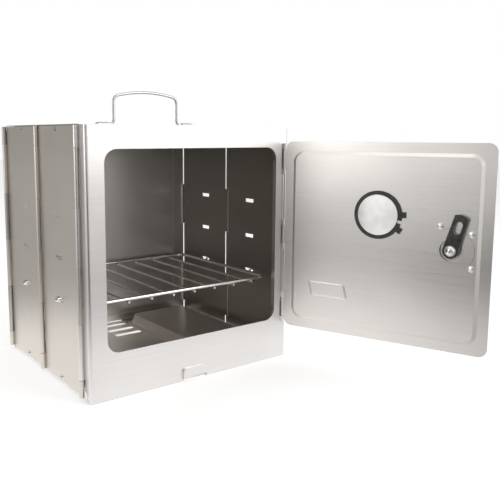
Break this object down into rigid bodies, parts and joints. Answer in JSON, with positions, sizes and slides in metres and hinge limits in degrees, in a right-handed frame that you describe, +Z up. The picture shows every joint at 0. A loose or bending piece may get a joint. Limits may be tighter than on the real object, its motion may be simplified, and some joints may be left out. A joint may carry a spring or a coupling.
{
  "type": "folding camp oven",
  "caption": "Folding sheet-steel camp oven with hinged side walls, side-hung door with dial thermometer and turn latch, wire rack, and carry handle.",
  "frame": {"origin": "centre of the footprint, on the plane that the oven stands on, midway between the outer wall faces and between the front and back faces", "axes": "+X to the right seen from the front, +Y from the front towards the back, +Z up; the door is stored swung open on its right-hand hinge"},
  "size_m": [0.3766, 0.4906, 0.3513],
  "materials": {
    "sheet_steel": "brushed",
    "pin_steel": "satin",
    "chrome_wire": "polished",
    "dark_steel": "satin",
    "bright_steel": "polished",
    "dial_face": "matte",
    "pointer_red": "matte",
    "coil_metal": "satin",
    "window_glass": "clear"
  },
  "bodies": {
    "back": {"back_panel": "sheet_steel", "lid_pin": "pin_steel", "floor_pin": "pin_steel", "left_rear_pin": "pin_steel", "right_rear_pin": "pin_steel"},
    "left_rear": {"left_rear_wall": "sheet_steel", "left_middle_pin": "pin_steel"},
    "left_front": {"left_front_wall": "sheet_steel"},
    "front": {"front_pan": "sheet_steel", "left_front_pin": "pin_steel", "right_front_pin": "pin_steel", "door_pin": "pin_steel"},
    "right_rear": {"right_rear_wall": "sheet_steel", "right_middle_pin": "pin_steel"},
    "right_front": {"right_front_wall": "sheet_steel"},
    "lid": {"lid": "sheet_steel", "handle_straps": "bright_steel", "strap_rivets": "bright_steel"},
    "handle": {"carry_handle": "chrome_wire"},
    "floor": {"floor_panel": "sheet_steel", "left_heat_tray": "sheet_steel", "right_heat_tray": "sheet_steel"},
    "door": {"door": "sheet_steel", "thermometer_case": "bright_steel", "thermometer_glass": "window_glass", "dial": "dial_face", "bimetal_coil": "coil_metal", "thermometer_clip": "dark_steel"},
    "latch": {"latch_lever": "dark_steel", "latch_shaft": "bright_steel", "latch_washer": "bright_steel", "latch_screw": "bright_steel", "latch_handle": "dark_steel"},
    "pointer": {"pointer": "pointer_red"},
    "rack": {"oven_rack": "chrome_wire"}
  },
  "joints": [
    {"name": "wall_fold", "type": "hinge", "parent": "back", "child": "left_rear", "pos_m": [-0.1447, 0.121, 0.15], "axis": [0, 0, 1], "range_deg": [0, 3]},
    {"name": "left_middle_fold", "type": "hinge", "parent": "left_rear", "child": "left_front", "pos_m": [-0.1447, 0.007, 0.15], "axis": [0, 0, 1], "range_deg": [-6, 0]},
    {"name": "left_front_fold", "type": "hinge", "parent": "left_front", "child": "front", "pos_m": [-0.1447, -0.107, 0.15], "axis": [0, 0, 1], "range_deg": [0, 3]},
    {"name": "right_rear_fold", "type": "hinge", "parent": "back", "child": "right_rear", "pos_m": [0.1447, 0.121, 0.15], "axis": [0, 0, 1], "range_deg": [-3, 0]},
    {"name": "right_middle_fold", "type": "hinge", "parent": "right_rear", "child": "right_front", "pos_m": [0.1447, 0.007, 0.15], "axis": [0, 0, 1], "range_deg": [0, 6]},
    {"name": "lid_hinge", "type": "hinge", "parent": "back", "child": "lid", "pos_m": [0, 0.121, 0.3031], "axis": [-1, 0, 0], "range_deg": [0, 180]},
    {"name": "handle_pivot", "type": "hinge", "parent": "lid", "child": "handle", "pos_m": [0.0035, 0.001, 0.308], "axis": [1, 0, 0], "range_deg": [-88, 88]},
    {"name": "floor_hinge", "type": "hinge", "parent": "back", "child": "floor", "pos_m": [0, 0.121, 0.0068], "axis": [1, 0, 0], "range_deg": [0, 90]},
    {"name": "door_hinge", "type": "hinge", "parent": "front", "child": "door", "pos_m": [0.1352, -0.1262, 0.166], "axis": [0, 0, 1], "range_deg": [-111.5, 68.5]},
    {"name": "latch_turn", "type": "hinge", "parent": "door", "child": "latch", "pos_m": [0.21254, -0.32542, 0.1655], "axis": [0.9304, 0.3665, 0], "range_deg": [-15, 89]},
    {"name": "pointer_turn", "type": "hinge", "parent": "door", "child": "pointer", "pos_m": [0.18095, -0.24521, 0.201], "axis": [-0.9304, -0.3665, 0], "range_deg": [0, 270]},
    {"name": "rack_lift", "type": "slide", "parent": "back", "child": "rack", "axis": [0, 0, 1], "range_m": [0, 0.0013]}
  ],
  "couplings": [
    {"joint": "left_middle_fold", "follows": "wall_fold", "ratio": -2},
    {"joint": "left_front_fold", "follows": "wall_fold", "ratio": 1},
    {"joint": "right_rear_fold", "follows": "wall_fold", "ratio": -1},
    {"joint": "right_middle_fold", "follows": "wall_fold", "ratio": 2}
  ]
}
